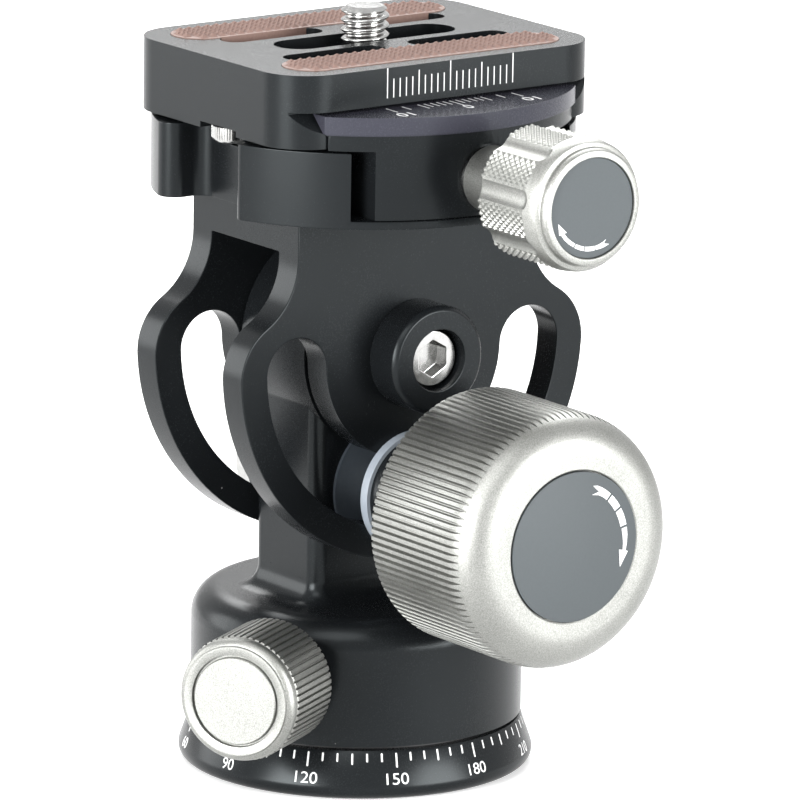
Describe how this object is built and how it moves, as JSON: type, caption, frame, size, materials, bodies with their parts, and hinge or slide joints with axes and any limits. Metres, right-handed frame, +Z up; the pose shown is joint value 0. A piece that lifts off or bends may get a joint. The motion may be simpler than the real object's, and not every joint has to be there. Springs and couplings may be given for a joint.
{
  "type": "fluid monopod head",
  "caption": "Compact monopod head: panning base with a side lock knob, damped tilting yoke with curved lock slots, and a dovetail clamp holding a camera plate.",
  "frame": {"origin": "centre of the tripod thread's mouth in the base's bottom face, on the pan axis", "axes": "+Z up along the pan axis; +X along the tilt axis towards the lock knob and the clamp knob; +Y along the camera plate's long side"},
  "size_m": [0.0777, 0.0641, 0.1012],
  "materials": {
    "black_anodised": "satin black anodised, fine bead-blast grain",
    "jaw_anodised": "satin black anodised with a slight violet tint",
    "champagne": "satin champagne anodised",
    "steel": "machined stainless steel",
    "brass": "machined",
    "nylon": "translucent bluish white",
    "friction_blue": "matt blue-grey",
    "label_grey": "matt grey with white print",
    "black_plastic": "matt",
    "black_rubber": "matt",
    "pad_rubber": "matt brown with a fine pyramid grid"
  },
  "bodies": {
    "base": {"base_ring": "black_anodised", "thread_insert": "steel", "pan_thrust_washer": "black_plastic"},
    "pan": {"body": "black_anodised", "pan_spindle": "steel", "pivot_bushes": "brass", "damper_cover": "black_anodised", "damper_seals": "black_rubber", "tilt_washers": "black_plastic", "friction_discs": "friction_blue", "lock_bolt": "steel", "slot_washer_far": "nylon"},
    "pan_shoe": {"pan_brake_shoe": "nylon"},
    "pan_knob": {"pan_lock_screw": "steel", "pan_lock_knob": "champagne", "pan_knob_cap": "champagne"},
    "tilt": {"yoke": "black_anodised", "pivot_shaft": "steel", "pivot_cap_near": "black_anodised", "pivot_cap_far": "black_anodised", "pivot_screws": "steel", "damper_rotor": "steel", "clamp_body": "black_anodised", "clamp_mount_screws": "steel", "clamp_locating_pin": "steel", "jaw_guide_pins": "steel", "jaw_springs": "steel"},
    "lock_stack": {"slot_washer_near": "nylon", "lock_spacer": "black_anodised"},
    "lock_knob": {"lock_knob": "champagne", "lock_knob_insert": "brass", "lock_knob_label": "label_grey"},
    "jaw": {"clamp_jaw": "jaw_anodised", "clamp_thrust_washer": "steel"},
    "clamp_knob": {"clamp_screw": "steel", "clamp_knob": "champagne", "clamp_knob_label": "label_grey"},
    "plate": {"plate": "black_anodised", "plate_pads": "pad_rubber", "stop_screws": "steel"},
    "screw_clip": {"screw_clip": "black_plastic"},
    "camera_screw": {"camera_screw": "steel"}
  },
  "joints": [
    {"name": "pan_turn", "type": "hinge", "parent": "base", "child": "pan", "pos_m": [0, 0, 0], "axis": [0, 0, 1], "continuous": true},
    {"name": "tilt", "type": "hinge", "parent": "pan", "child": "tilt", "pos_m": [0, 0, 0.057], "axis": [1, 0, 0], "range_deg": [-88, 88]},
    {"name": "pan_shoe_slide", "type": "slide", "parent": "pan", "child": "pan_shoe", "axis": [0.5, -0.866, 0], "range_m": [0, 0.0008]},
    {"name": "pan_knob_turn", "type": "hinge", "parent": "pan_shoe", "child": "pan_knob", "pos_m": [0, 0, 0.0163], "axis": [0.5, -0.866, 0], "range_deg": [0, 360]},
    {"name": "lock_slide", "type": "slide", "parent": "pan", "child": "lock_stack", "axis": [1, 0, 0], "range_m": [0, 0.00125]},
    {"name": "lock_knob_turn", "type": "hinge", "parent": "lock_stack", "child": "lock_knob", "pos_m": [0, 0, 0.03835], "axis": [1, 0, 0], "range_deg": [0, 360]},
    {"name": "jaw_slide", "type": "slide", "parent": "tilt", "child": "jaw", "axis": [1, 0, 0], "range_m": [0, 0.0032]},
    {"name": "clamp_knob_turn", "type": "hinge", "parent": "jaw", "child": "clamp_knob", "pos_m": [0, 0, 0.08305], "axis": [1, 0, 0], "range_deg": [0, 1440]},
    {"name": "plate_slide", "type": "slide", "parent": "tilt", "child": "plate", "axis": [0, 1, 0], "range_m": [-0.003, 0.003]},
    {"name": "screw_slide", "type": "slide", "parent": "plate", "child": "screw_clip", "axis": [0, 1, 0], "range_m": [-0.01, 0.01]},
    {"name": "camera_screw_turn", "type": "hinge", "parent": "screw_clip", "child": "camera_screw", "pos_m": [0, 0, 0], "axis": [0, 0, 1], "continuous": true}
  ],
  "couplings": [
    {"joint": "pan_knob_turn", "follows": "pan_shoe_slide", "rad_per_m": 7854},
    {"joint": "lock_knob_turn", "follows": "lock_slide", "rad_per_m": 5026.5},
    {"joint": "clamp_knob_turn", "follows": "jaw_slide", "rad_per_m": 7854}
  ]
}
